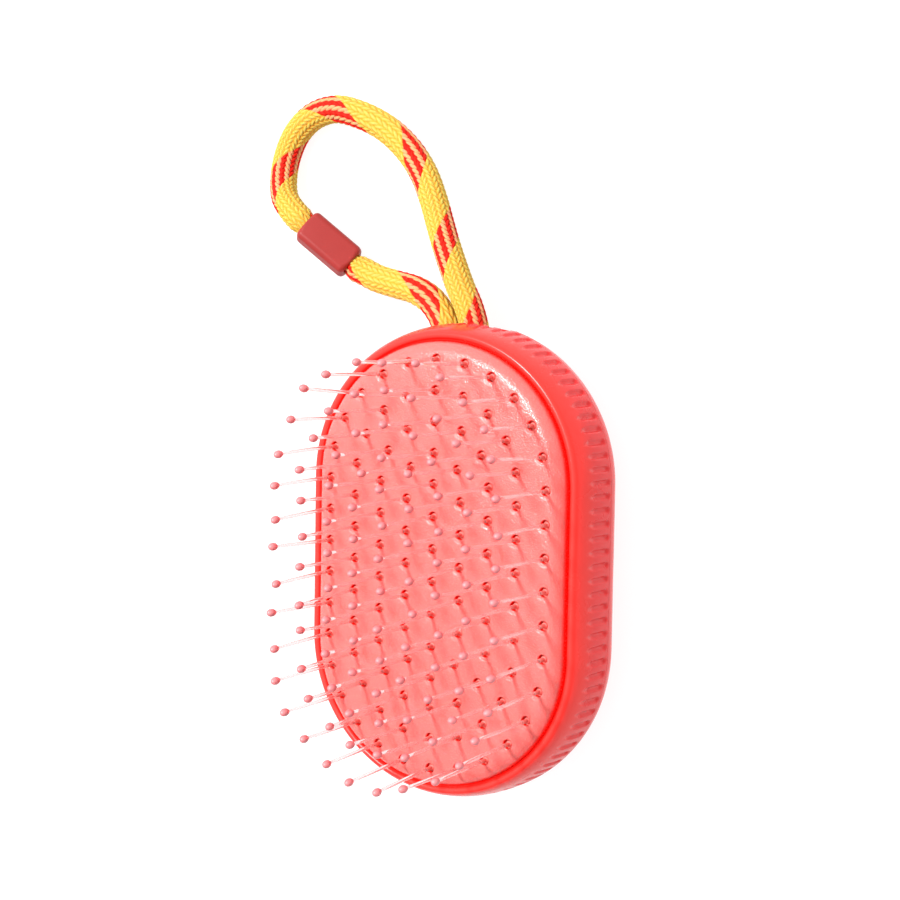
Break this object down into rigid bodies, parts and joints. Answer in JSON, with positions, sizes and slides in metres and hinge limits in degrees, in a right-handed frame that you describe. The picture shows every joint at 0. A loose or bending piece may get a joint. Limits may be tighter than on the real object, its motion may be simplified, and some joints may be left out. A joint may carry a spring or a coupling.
{
  "type": "pin brush",
  "caption": "Palm-size pill-shaped pin brush: ball-tipped pins in a soft cushion, fluted plastic body, and a braided rope hanging loop joined by a ferrule.",
  "frame": {"origin": "middle of the flat back, with the brush lying on its back", "axes": "+Z out of the pin face, +Y along the body towards the rope loop, +X to the right when looking at the pins with the rope at the top"},
  "size_m": [0.0938, 0.1578, 0.0476],
  "materials": {
    "shell_red": "glossy coral-red moulded plastic",
    "cushion_rubber": "soft pink satin rubber",
    "pin_nylon": "translucent pink nylon, glossy",
    "inner_plastic": "plain inner moulding",
    "ferrule_plastic": "satin dusty-red plastic",
    "rope_braid": "yellow braided cord with red tracer yarns",
    "steel": "plain steel"
  },
  "bodies": {
    "brush_body": {"front_shell": "shell_red", "back_cover": "shell_red", "cushion_pad": "cushion_rubber", "pin_plate": "inner_plastic", "pin_row_centre": "pin_nylon", "pin_ring_1": "pin_nylon", "pin_ring_2": "pin_nylon", "pin_ring_3": "pin_nylon", "pin_ring_4": "pin_nylon", "plate_screw_1": "steel", "plate_screw_2": "steel", "plate_screw_3": "steel", "plate_screw_4": "steel", "pivot_pin": "steel"},
    "hang_loop": {"rope_holder": "inner_plastic", "rope_long": "rope_braid", "rope_short": "rope_braid", "ferrule_front": "ferrule_plastic", "ferrule_back": "ferrule_plastic"}
  },
  "joints": [
    {"name": "loop_swing", "type": "hinge", "parent": "brush_body", "child": "hang_loop", "pos_m": [0, 0.037, 0.0105], "axis": [0, 0, 1], "range_deg": [-23, 1]}
  ]
}
